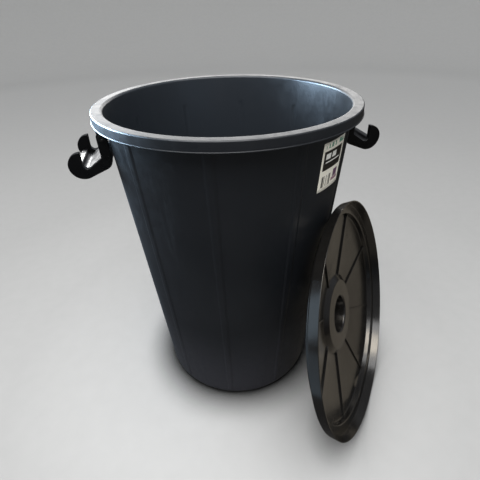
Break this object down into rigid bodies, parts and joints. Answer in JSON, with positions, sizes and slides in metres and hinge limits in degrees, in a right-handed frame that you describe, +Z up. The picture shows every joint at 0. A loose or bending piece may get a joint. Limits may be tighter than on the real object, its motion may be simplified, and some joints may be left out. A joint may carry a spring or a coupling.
{
  "type": "lidded bin",
  "caption": "Tall tapered plastic bin for washing, water or waste, with a rolled rim, flip-up side handles that lock over the lid, and a loose round lid leaning on its side.",
  "frame": {"origin": "centre of the bin's base, on the surface it stands on", "axes": "+Z up along the bin's axis; the handles stand on the +X and -X sides; the lid leans on the side between +X and -Y"},
  "size_m": [0.6364, 0.6042, 0.608],
  "materials": {
    "bin_plastic": "satin",
    "lid_plastic": "glossy",
    "handle_plastic": "satin",
    "pin_plastic": "satin",
    "label_paper": "coated paper"
  },
  "bodies": {
    "bin": {"bin": "bin_plastic", "label": "label_paper", "hinge_pin_right_front": "pin_plastic", "hinge_pin_right_rear": "pin_plastic", "hinge_pin_left_front": "pin_plastic", "hinge_pin_left_rear": "pin_plastic"},
    "right_handle": {"handle_right": "handle_plastic"},
    "left_handle": {"handle_left": "handle_plastic"},
    "lid": {"lid": "lid_plastic"}
  },
  "joints": [
    {"name": "right_handle_flip", "type": "hinge", "parent": "bin", "child": "right_handle", "pos_m": [0.2104, 0, 0.574], "axis": [0, -1, 0], "range_deg": [0, 116]},
    {"name": "left_handle_flip", "type": "hinge", "parent": "bin", "child": "left_handle", "pos_m": [-0.2104, 0, 0.574], "axis": [0, 1, 0], "range_deg": [0, 116]},
    {"name": "lid_lift_off", "type": "slide", "parent": "bin", "child": "lid", "axis": [0.5213, -0.4777, 0.7071], "range_m": [0, 0.6]}
  ]
}
